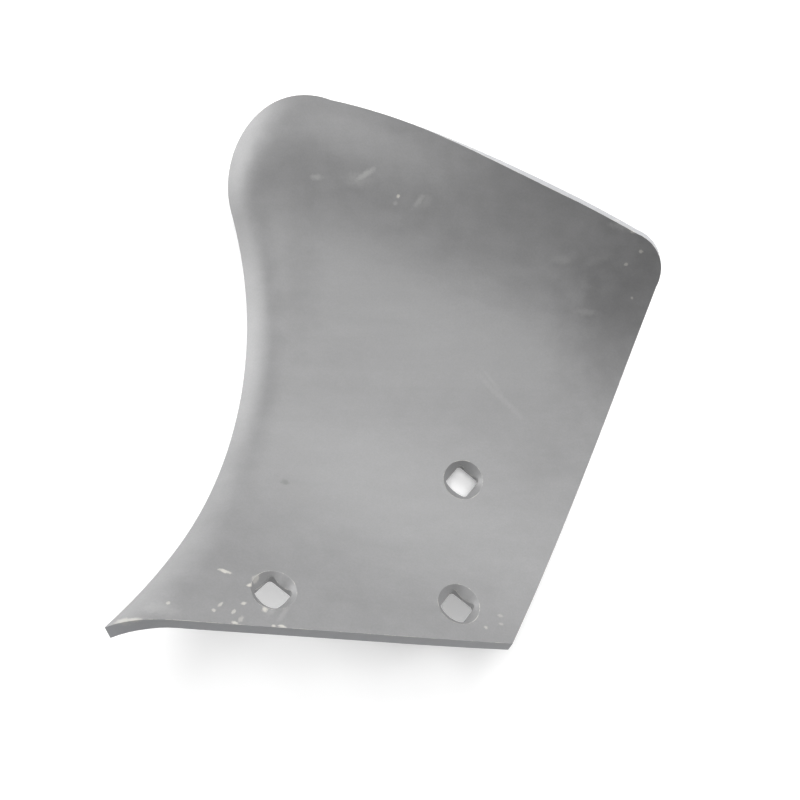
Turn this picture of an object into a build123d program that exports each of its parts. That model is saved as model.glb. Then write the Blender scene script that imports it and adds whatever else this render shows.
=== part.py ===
from build123d import *
from math import acos, atan2, cos, hypot, pi, radians, sin, tan
import os

os.makedirs("parts", exist_ok=True)

# Right-hand skimmer mouldboard: one steel plate, cut out flat, pressed and drilled.
# Sizes in mm, angles in degrees. Blank positions are (x, s) on the working face, from the
# lower front corner: x along the bend lines, minus towards the wing, and s up across them.

# sheet, and the curl it is pressed to, which is tighter from top_start up
sheet = 6.0
curl_radius = 190.0
curl_start = -12.0
top_radius = 130.0
top_start = 165.0

# share edge: straight, from the wing tip up to the lower front corner
share_slope = 22.5
share_length = 191.0

# shin edge and top edge, both slightly bowed out, with a round corner between them
shin_lean = 8.5
shin_bow = 9.0
top_height = 248.0
top_bow = 6.0
front_corner_radius = 23.0

# wing edge: a hollow arc up from the tip, then a round nose into the top edge
wing_hollow_radius = 285.0
wing_nose_radius = 46.0
wing_width = 245.5

# lip along the wing edge, pressed back from the working face, and its run-out along the top
lip_width = 21.5
lip_drop = 9.0
flare_width = 36.0
flare_drop = 11.0
flare_length = 135.0

# bolt holes: countersunk for a flat head over a punched square with rounded corners
head_diameter = 22.0
head_angle = 90.0
neck_square = 14.0
neck_corner = 2.0
neck_turn = 27.0
share_holes_up = 20.5
front_hole_in = 25.0
hole_pitch = 93.5
upper_hole_up = 92.0
upper_hole_in = 15.5

# how far the plate rolls and cants to lie on its curved back
rest_roll = 41.7
rest_cant = 2.0

slope = radians(share_slope)


def share_point(inwards, upwards):
    """Blank point measured along the share edge from the front corner, and square to it."""
    x = -inwards * cos(slope) - upwards * sin(slope)
    return x, -inwards * sin(slope) + upwards * cos(slope)


def on_circle(centre, radius, angle):
    return centre[0] + radius * cos(angle), centre[1] + radius * sin(angle)


def heading(start, end):
    return atan2(end[1] - start[1], end[0] - start[0]) % (2 * pi)


def distance(start, end):
    return hypot(end[0] - start[0], end[1] - start[1])


# the nose touches the top edge and the far side of the wing; the hollow's centre lies outside
# the wing, where its arc starts at the tip and runs smoothly into the nose
tip = share_point(share_length, 0)
nose = (wing_nose_radius - wing_width, top_height - wing_nose_radius)
chord = distance(tip, nose)
reach = wing_hollow_radius + wing_nose_radius
swing = (chord**2 + wing_hollow_radius**2 - reach**2) / (2 * chord * wing_hollow_radius)
hollow = on_circle(tip, wing_hollow_radius, heading(tip, nose) + acos(swing))
join = heading(nose, hollow)


def depth_inside(x, s):
    """Distance in from the wing and top edges, and how far round the nose, 0 to 1, it lies."""
    angle = heading(nose, (x, s))
    if x > nose[0] and s > nose[1]:
        return top_height - s, 1.0
    if pi / 2 <= angle <= join:
        return wing_nose_radius - distance(nose, (x, s)), (join - angle) / (join - pi / 2)
    return distance(hollow, (x, s)) - wing_hollow_radius, 0.0


def lip(x, s):
    """How far the lip is pressed back from the curled sheet."""
    inside, turn = depth_inside(x, s)
    width = lip_width + (flare_width - lip_width) * turn
    drop = lip_drop + (flare_drop - lip_drop) * turn
    run = min(max(x - nose[0], 0) / flare_length, 1) if turn == 1 else 0
    return drop * (1 - run * run * (3 - 2 * run)) * max(1 - inside / width, 0) ** 2


def curled(s):
    """Angle the sheet has turned through at s: none when flat, then round two radii."""
    wide = min(max(s - curl_start, 0), top_start - curl_start) / curl_radius
    return wide + max(s - top_start, 0) / top_radius


def normal(s):
    return Vector(0, -sin(curled(s)), cos(curled(s)))


def pressed(x, s):
    """The blank point (x, s) after pressing: flat, then round the curl's two radii."""
    turned, wide = curled(s), curled(min(s, top_start))
    y = min(s, curl_start) + curl_radius * sin(wide) + top_radius * (sin(turned) - sin(wide))
    z = curl_radius * (1 - cos(wide)) + top_radius * (cos(wide) - cos(turned))
    return Vector(x, y, z) - normal(s) * lip(x, s)


# working face, lofted through rows of the pressed sheet and larger than the blank all round
margin = 8.0
columns, rows = 24, 24


def wing_edge(s):
    if s > nose[1]:
        return -wing_width
    centre, radius, side = (hollow, wing_hollow_radius, 1)
    if s > nose[1] + wing_nose_radius * sin(join):
        centre, radius, side = (nose, wing_nose_radius, -1)
    return centre[0] + side * (radius**2 - (s - centre[1]) ** 2) ** 0.5


across = [i / columns for i in range(columns + 1)]
low, high = tip[1] - margin, top_height + top_bow + margin
sections = []
for j in range(rows + 1):
    s = low + (high - low) * j / rows
    start, end = wing_edge(s) - margin, shin_bow + margin
    row = [pressed(start + (end - start) * t, s) for t in across]
    sections.append(Wire([Edge.make_spline(row, parameters=across)]))
working_face = Shell.make_loft(sections).faces()[0]

# outline of the blank, in runs from the tip round by the front corner
corner = (shin_lean - front_corner_radius, top_height - front_corner_radius)
steps = [k / 10 for k in range(11)]


def bowed(start, end, bow, sideways):
    """Points from start to end, bowed out along x or along s."""
    points = []
    for t in steps:
        x = start[0] + (end[0] - start[0]) * t
        s = start[1] + (end[1] - start[1]) * t
        out = 4 * bow * t * (1 - t)
        points.append((x + out, s) if sideways else (x, s + out))
    return points


def arc(centre, radius, first, last):
    """Points on a circle from one heading to the other, the short way round."""
    swept = (last - first + pi) % (2 * pi) - pi
    return [on_circle(centre, radius, first + swept * t) for t in steps]


outline = [
    bowed(tip, (0, 0), 0, False),
    bowed((0, 0), (shin_lean, corner[1]), shin_bow, True),
    arc(corner, front_corner_radius, 0, pi / 2),
    bowed((corner[0], top_height), (nose[0], top_height), top_bow, False),
    arc(nose, wing_nose_radius, pi / 2, join),
    arc(hollow, wing_hollow_radius, heading(hollow, nose), heading(hollow, tip)),
]

# the pressed outline, seen square to the middle of the curl, trims the face; the trimmed face
# is then given its thickness, so that every edge stays square to the sheet
facing = Plane((0, 0, 0), x_dir=(1, 0, 0), z_dir=normal((curl_start + top_height) / 2))
edges = []
for run in outline:
    seen = [facing.to_local_coords(pressed(*point)) for point in run]
    edges.append(Spline(*[facing.from_local_coords(Vector(p.X, p.Y, 0)) for p in seen]))
trimmer = extrude(make_face(edges), amount=2 * curl_radius, both=True)
plate = Solid.thicken((working_face & trimmer).faces()[0], -sheet)

# bolt holes, each sunk square to the working face where it sits
radius = head_diameter / 2
taper = tan(radians(head_angle / 2))
sink = (radius - neck_square / 2) / taper
clear = 1.0
profile = [(0, clear), (radius + clear * taper, clear), (neck_square / 2, -sink), (0, -sink)]
countersink = revolve(Plane.XZ * make_face(Polyline(*profile, close=True)), Axis.Z)
square = Rot(0, 0, 45 + neck_turn) * RectangleRounded(neck_square, neck_square, neck_corner)
hole = countersink + extrude(square, amount=2 * sheet, both=True)
places = [
    (front_hole_in, share_holes_up),
    (front_hole_in + hole_pitch, share_holes_up),
    (upper_hole_in, upper_hole_up),
]
for inwards, upwards in places:
    x, s = share_point(inwards, upwards)
    plate -= Plane(pressed(x, s), x_dir=(1, 0, 0), z_dir=normal(s)) * hole

# laid down on its back, with the middle of its bounding box over the origin
plate = Rot(0, rest_cant, 0) * Rot(-rest_roll, 0, 0) * plate
points, triangles = plate.tessellate(0.02)
xs, ys, zs = zip(*points)
plate = Pos(-(min(xs) + max(xs)) / 2, -(min(ys) + max(ys)) / 2, -min(zs)) * plate
export_step(plate, "parts/mouldboard.step")
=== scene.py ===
import bmesh
import bpy
from mathutils import Matrix, Vector


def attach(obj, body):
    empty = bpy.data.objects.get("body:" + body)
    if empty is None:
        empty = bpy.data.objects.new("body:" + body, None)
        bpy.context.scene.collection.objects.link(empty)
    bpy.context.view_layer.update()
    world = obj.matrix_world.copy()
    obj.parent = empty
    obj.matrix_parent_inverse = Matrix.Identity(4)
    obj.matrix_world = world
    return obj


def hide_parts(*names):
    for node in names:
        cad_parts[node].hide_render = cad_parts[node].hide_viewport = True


# Right-hand skimmer mouldboard in satin grey paint, chipped at its edges, lying on its
# curved back on a pale floor. Metres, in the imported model's frame.

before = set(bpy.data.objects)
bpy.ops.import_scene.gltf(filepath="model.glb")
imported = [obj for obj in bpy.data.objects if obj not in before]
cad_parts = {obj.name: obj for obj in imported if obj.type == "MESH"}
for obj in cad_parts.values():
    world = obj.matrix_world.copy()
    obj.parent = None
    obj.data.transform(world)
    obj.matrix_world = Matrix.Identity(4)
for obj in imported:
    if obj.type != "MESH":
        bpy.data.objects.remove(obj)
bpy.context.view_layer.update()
scene = bpy.context.scene

# plate mesh: points closer than WELD are joined, edges turning by more than CORNER_ANGLE
# (radians) are rounded, and a patch between such edges is a cut side when its area in square
# metres lies in SIDE_AREA, so it is neither a face of the sheet nor the wall of a hole
WELD = 0.0002
CORNER_ANGLE = 0.6
EDGE_ROUND = 0.0007
SIDE_AREA = (0.0006, 0.01)

# colours of the paint, of its cut sides (a slightly bluish paint, made lighter as painted light where no
# lamp reaches them), of rubbed and chipped places and of dirt
PAINT = (0.215, 0.215, 0.217)
SIDE_PAINT_AND_LIGHT = (0.36, 0.365, 0.38, 1)
RUBBED = (0.42, 0.42, 0.41, 1)
BARE = (0.48, 0.465, 0.43, 1)
DIRT = (0.08, 0.08, 0.08, 1)
ROUGHNESS = (0.39, 0.45)
BUMP_DEPTH = 0.0003
FLOOR_GREY = 0.9
FLOOR_GLOW = 0.2

# directions that a mark runs in
ALONG = (1, 0.3, 0)
UP_FACE = (0.2, 1, -0.9)

# marks on the working face, each its place, direction, length, width and strength
SCUFFS = [
    ((-0.0502, 0.1182, 0.0380), (0.65, 0.68, 0.35), 0.0120, 0.0032, 0.75),
    ((-0.0530, 0.1150, 0.0362), (1, 0.3, 0.1), 0.0120, 0.0070, 0.30),
    ((-0.0761, 0.1083, 0.0332), ALONG, 0.0065, 0.0028, 0.55),
    ((-0.0282, 0.1113, 0.0334), UP_FACE, 0.0040, 0.0022, 0.50),
    ((-0.0160, 0.1166, 0.0362), (0.3, 0.8, 0.5), 0.0085, 0.0028, 0.50),
    ((-0.0118, 0.1176, 0.0368), (0.3, 0.8, 0.5), 0.0080, 0.0050, 0.20),
    ((0.0700, 0.0355, 0.0085), (0.85, -0.35, -0.05), 0.0300, 0.0030, 0.18),
    ((0.0620, 0.0420, 0.0092), (0.85, -0.5, -0.05), 0.0160, 0.0020, 0.15),
    ((-0.0120, -0.0605, 0.0340), (1, -0.2, 0.1), 0.0160, 0.0100, 0.12),
    ((0.0045, -0.1150, 0.0748), UP_FACE, 0.0090, 0.0022, 0.30),
    ((0.0095, -0.1160, 0.0752), UP_FACE, 0.0090, 0.0022, 0.30),
    ((0.0710, 0.1165, 0.0334), (1, 0.4, 0.1), 0.0110, 0.0040, 0.20),
    ((0.0951, 0.0977, 0.0216), ALONG, 0.0120, 0.0035, 0.22),
    ((0.0880, 0.1220, 0.0370), (0.6, 0.6, 0.3), 0.0140, 0.0050, 0.15),
    ((-0.0401, -0.1327, 0.0908), ALONG, 0.0150, 0.0060, 0.30),
    ((0.0952, 0.1402, 0.0517), ALONG, 0.0150, 0.0040, 0.45),
]
CHIPS = [
    ((-0.0282, 0.1150, 0.0356), UP_FACE, 0.0028, 0.0018, 1.00),
    ((-0.0243, -0.1088, 0.0702), (1, 0.15, 0), 0.0055, 0.0018, 1.00),
    ((-0.0088, -0.1180, 0.0779), (1, 0.5, -0.3), 0.0026, 0.0018, 0.90),
    ((-0.0178, -0.1221, 0.0818), UP_FACE, 0.0026, 0.0013, 0.65),
    ((-0.0190, -0.1252, 0.0846), ALONG, 0.0019, 0.0015, 0.70),
    ((-0.0109, -0.1228, 0.0823), UP_FACE, 0.0026, 0.0014, 0.65),
    ((-0.0065, -0.1243, 0.0834), UP_FACE, 0.0036, 0.0020, 0.40),
    ((0.0011, -0.1168, 0.0765), UP_FACE, 0.0026, 0.0022, 1.00),
    ((-0.0383, -0.1297, 0.0886), ALONG, 0.0020, 0.0016, 0.65),
    ((-0.0105, -0.1100, 0.0708), (1, 0.6, -0.4), 0.0028, 0.0016, 1.00),
    ((-0.0098, -0.1068, 0.0672), UP_FACE, 0.0050, 0.0030, 0.50),
    ((-0.0079, -0.1265, 0.0854), ALONG, 0.0026, 0.0014, 0.90),
    ((0.0115, -0.1205, 0.0794), ALONG, 0.0032, 0.0014, 1.00),
    ((0.0081, -0.1216, 0.0805), ALONG, 0.0018, 0.0012, 0.90),
    ((-0.0520, -0.1434, 0.0946), ALONG, 0.0080, 0.0030, 0.60),
    ((-0.0473, -0.1407, 0.0955), ALONG, 0.0060, 0.0024, 0.60),
    ((0.1022, -0.0857, 0.0460), ALONG, 0.0020, 0.0016, 0.60),
    ((0.1075, -0.0776, 0.0401), ALONG, 0.0028, 0.0016, 0.35),
    ((0.1092, -0.0812, 0.0425), ALONG, 0.0024, 0.0014, 0.35),
    ((0.0901, 0.1418, 0.0514), ALONG, 0.0030, 0.0016, 0.70),
    ((0.1004, 0.1386, 0.0520), ALONG, 0.0026, 0.0016, 0.60),
    ((0.1087, 0.1327, 0.0457), ALONG, 0.0020, 0.0018, 0.60),
    ((0.1045, 0.1255, 0.0393), ALONG, 0.0020, 0.0016, 0.45),
    ((0.1158, 0.1127, 0.0294), UP_FACE, 0.0028, 0.0014, 0.40),
]
SMUDGES = [
    ((-0.0209, -0.0575, 0.0326), ALONG, 0.0045, 0.0028, 0.45),
    ((-0.0130, -0.0600, 0.0338), (1, -0.3, 0.1), 0.0200, 0.0120, 0.07),
]
# painted shade: soft darker patches of paint at the top right corner of the curl and in the trough left of
# the middle, where the plate lies in shade
PAINTED_SHADE_AREAS = [
    ((0.112, 0.105, 0.027), (0.1, -0.53, -0.34), 0.090, 0.045, 0.30),
    ((-0.064, 0.055, 0.008), (0.2, -0.6, -0.1), 0.080, 0.020, 0.15),
]

# softboxes round the plate: direction and power in watts
SOFTBOXES = {
    "overhead": ((0, 0, 1), 11.0),
    "back": ((0, 1, 1), 12.1),
    "back_right": ((1, 1, 0.8), 7.0),
    "left": ((-1, 0, 0.3), 20.3),
}
SOFTBOX_SIZE = 1.0
SOFTBOX_DISTANCE = 1.4
SKY = 0.06

# camera at the photograph's angle, nearly overhead
CAMERA_PLACE = (0.04291, -0.08276, 0.46563)
CAMERA_RIGHT = (0.92319, 0.38345, 0.02622)
CAMERA_UP = (-0.38020, 0.90110, 0.20848)
CAMERA_LENS = 36.9


class Graph:
    """One material, with short calls that add linked nodes to it."""

    def __init__(self, name):
        self.material = bpy.data.materials.new(name)
        self.material.use_nodes = True
        self.tree = self.material.node_tree
        self.tree.nodes.clear()
        self.shader = self.node("BsdfPrincipled")
        output = self.node("OutputMaterial")
        self.tree.links.new(self.shader.outputs["BSDF"], output.inputs["Surface"])
        self.place = self.node("TexCoord").outputs["Object"]

    def node(self, kind, **settings):
        made = self.tree.nodes.new("ShaderNode" + kind)
        for key, value in settings.items():
            setattr(made, key, value)
        return made

    def put(self, socket, value):
        if isinstance(value, bpy.types.NodeSocket):
            self.tree.links.new(value, socket)
        else:
            socket.default_value = value

    def attribute(self, name):
        return self.node("Attribute", attribute_name=name).outputs["Fac"]

    def math(self, kind, a, b):
        made = self.node("Math", operation=kind)
        self.put(made.inputs[0], a)
        self.put(made.inputs[1], b)
        return made.outputs[0]

    def ramp(self, value, low, high, start=0.0, end=1.0):
        """value from low to high, turned smoothly into start to end."""
        made = self.node("MapRange", interpolation_type="SMOOTHSTEP")
        self.put(made.inputs["Value"], value)
        for name, number in (("From Min", low), ("From Max", high), ("To Min", start), ("To Max", end)):
            made.inputs[name].default_value = number
        return made.outputs[0]

    def mix(self, factor, a, b):
        made = self.node("Mix", data_type="RGBA")
        self.put(made.inputs["Factor"], factor)
        self.put(made.inputs[6], a)
        self.put(made.inputs[7], b)
        return made.outputs[2]

    def mapped(self, at=(0, 0, 0), turn=(0, 0, 0), scale=(1, 1, 1)):
        """Coordinates measured from a place, in turned and scaled axes."""
        made = self.node("Mapping", vector_type="TEXTURE")
        self.put(made.inputs["Vector"], self.place)
        made.inputs["Location"].default_value = at
        made.inputs["Rotation"].default_value = turn
        made.inputs["Scale"].default_value = scale
        return made.outputs[0]

    def noise(self, size, detail, roughness=0.5, **mapping):
        """Noise whose blotches are about size metres across."""
        made = self.node("TexNoise")
        self.put(made.inputs["Vector"], self.mapped(**mapping))
        made.inputs["Scale"].default_value = 1 / size
        made.inputs["Detail"].default_value = detail
        made.inputs["Roughness"].default_value = roughness
        return made.outputs["Fac"]

    def marks(self, places, ragged, soft):
        """How much of any of the marks lies here, 0 to 1, with ragged outlines."""
        total = 0.0
        for at, direction, length, width, strength in places:
            along = Vector(direction).normalized()
            side = Vector((0, -0.3, 1)).cross(along).normalized()
            turn = Matrix((along, side, along.cross(side))).transposed().to_euler()
            scale = (length / 2, width / 2, width / 2)
            measured = self.node("VectorMath", operation="LENGTH")
            self.put(measured.inputs[0], self.mapped(at, turn, scale))
            distance = self.math("ADD", measured.outputs["Value"], ragged)
            mark = self.ramp(distance, 1 - soft, 1 + soft, strength, 0)
            total = self.math("MAXIMUM", mark, total)
        return total


def paint():
    """Satin grey paint over steel: faint mottling and grain, scuffs, and chips at the edges, with painted
    shade in two soft patches and painted light on the cut sides.
    """
    g = Graph("grey_paint")
    cloud = g.noise(0.09, detail=2)
    blotch = g.noise(0.014, detail=4, roughness=0.6)
    streak = g.noise(0.012, detail=4, roughness=0.6, scale=(7, 1, 1), turn=(0, 0, 0.4))
    grain = g.noise(0.0009, detail=3, roughness=0.6)
    ragged = g.ramp(g.noise(0.0022, detail=4, roughness=0.7), 0.25, 0.75, -0.4, 0.4)
    uneven = g.ramp(blotch, 0.25, 0.75, -0.2, 0.2)

    tone = g.ramp(cloud, 0.3, 0.7, 0.965, 1.035)
    for layer, spread in ((blotch, 0.04), (streak, 0.03), (grain, 0.04)):
        tone = g.math("MULTIPLY", tone, g.ramp(layer, 0.25, 0.75, 1 - spread, 1 + spread))
    # darken the paint as painted shade in these patches
    painted_shade = g.marks(PAINTED_SHADE_AREAS, uneven, soft=1.0)
    tone = g.math("MULTIPLY", tone, g.math("SUBTRACT", 1.0, painted_shade))
    colour = g.node("VectorMath", operation="SCALE")
    colour.inputs[0].default_value = PAINT
    g.put(colour.inputs["Scale"], tone)

    edge = g.attribute("edge")
    flaking = g.ramp(g.noise(0.006, detail=5, roughness=0.7), 0.46, 0.58)
    scuffs = g.marks(SCUFFS, ragged, soft=0.7)
    chips = g.math("MAXIMUM", g.marks(CHIPS, ragged, soft=0.5), g.math("MULTIPLY", edge, flaking))
    smudges = g.marks(SMUDGES, ragged, soft=0.6)
    rubbed = g.math("MAXIMUM", g.math("MULTIPLY", scuffs, 0.6), g.math("MULTIPLY", edge, 0.15))

    # cut sides take a lighter, slightly bluish paint: partly their own colour, partly painted light where no
    # lamp lights them
    shade = g.mix(g.math("MULTIPLY", g.attribute("side"), 0.85), colour.outputs[0], SIDE_PAINT_AND_LIGHT)
    shade = g.mix(rubbed, shade, RUBBED)
    shade = g.mix(smudges, shade, DIRT)
    shade = g.mix(g.math("MULTIPLY", chips, 0.9), shade, BARE)
    g.put(g.shader.inputs["Base Color"], shade)
    rough = g.ramp(blotch, 0.3, 0.7, *ROUGHNESS)
    g.put(g.shader.inputs["Roughness"], g.math("ADD", rough, g.math("MULTIPLY", scuffs, 0.12)))

    height = g.math("ADD", g.math("MULTIPLY", grain, 0.16), g.math("MULTIPLY", blotch, 0.35))
    height = g.math("SUBTRACT", height, g.math("MULTIPLY", chips, 0.7))
    height = g.math("SUBTRACT", height, g.math("MULTIPLY", smudges, 0.5))
    bump = g.node("Bump")
    bump.inputs["Strength"].default_value = 0.35
    bump.inputs["Distance"].default_value = BUMP_DEPTH
    g.put(bump.inputs["Height"], height)
    g.put(g.shader.inputs["Normal"], bump.outputs[0])
    return g.material


def side_faces(work, corners):
    """The faces of the sheet's cut sides, found as patches between the corners."""
    border, left, found = set(corners), set(work.faces), []
    while left:
        patch, queue = [], [left.pop()]
        while queue:
            face = queue.pop()
            patch.append(face)
            for edge in set(face.edges) - border:
                for other in left.intersection(edge.link_faces):
                    left.discard(other)
                    queue.append(other)
        if SIDE_AREA[0] < sum(face.calc_area() for face in patch) < SIDE_AREA[1]:
            found += patch
    return found


def plate_piece():
    """The plate with its cut corners slightly rounded, in place of the CAD node."""
    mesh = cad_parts["mouldboard"].data.copy()
    mesh.name = "painted_plate"
    work = bmesh.new()
    work.from_mesh(mesh)
    side = work.faces.layers.float.new("side")
    edge = work.faces.layers.float.new("edge")
    bmesh.ops.remove_doubles(work, verts=work.verts, dist=WELD)
    corners = [e for e in work.edges if len(e.link_faces) == 2 and e.calc_face_angle_signed() > CORNER_ANGLE]
    for face in side_faces(work, corners):
        face[side] = 1.0
    rounded = bmesh.ops.bevel(work, geom=corners, offset=EDGE_ROUND, segments=3, affect="EDGES",
                              profile=0.5, clamp_overlap=True)
    for face in rounded["faces"]:
        face[edge] = 1.0
    work.to_mesh(mesh)
    work.free()
    mesh.materials.clear()
    mesh.materials.append(paint())
    for polygon in mesh.polygons:
        polygon.use_smooth = True
        polygon.material_index = 0
    piece = bpy.data.objects.new("painted_plate", mesh)
    scene.collection.objects.link(piece)
    piece.modifiers.new("even_shading", "WEIGHTED_NORMAL")
    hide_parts("mouldboard")
    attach(piece, "root")


def pale_floor():
    """A matt white floor that glows a little, as a light table does."""
    g = Graph("pale_floor")
    g.shader.inputs["Base Color"].default_value = (FLOOR_GREY, FLOOR_GREY, FLOOR_GREY, 1)
    g.shader.inputs["Roughness"].default_value = 0.9
    g.shader.inputs["Emission Color"].default_value = (1, 1, 1, 1)
    g.shader.inputs["Emission Strength"].default_value = FLOOR_GLOW
    bpy.ops.mesh.primitive_plane_add(size=6)
    floor = bpy.context.object
    floor.name = "floor"
    floor.data.materials.append(g.material)


def softbox(name, direction, power):
    """A round softbox that faces the plate."""
    light = bpy.data.lights.new(name, "AREA")
    light.shape = "DISK"
    light.size = SOFTBOX_SIZE
    light.energy = power
    item = bpy.data.objects.new(name, light)
    item.location = Vector(direction).normalized() * SOFTBOX_DISTANCE
    item.rotation_mode = "QUATERNION"
    item.rotation_quaternion = Vector(direction).to_track_quat("Z", "Y")
    scene.collection.objects.link(item)


def sky():
    world = bpy.data.worlds.new("studio")
    world.use_nodes = True
    background = world.node_tree.nodes["Background"]
    background.inputs["Color"].default_value = (1, 1, 1, 1)
    background.inputs["Strength"].default_value = SKY
    scene.world = world


def photo_camera():
    camera = bpy.data.objects.new("camera", bpy.data.cameras.new("camera"))
    right, up = Vector(CAMERA_RIGHT), Vector(CAMERA_UP)
    turn = Matrix((right, up, right.cross(up))).transposed()
    camera.matrix_world = Matrix.Translation(CAMERA_PLACE) @ turn.to_4x4()
    camera.data.sensor_width = 36
    camera.data.lens = CAMERA_LENS
    camera.data.clip_start = 0.01
    scene.collection.objects.link(camera)
    return camera


plate_piece()
pale_floor()
for box_name, (box_direction, box_power) in SOFTBOXES.items():
    softbox(box_name, box_direction, box_power)
sky()
scene.camera = photo_camera()
scene.view_settings.view_transform = "Standard"
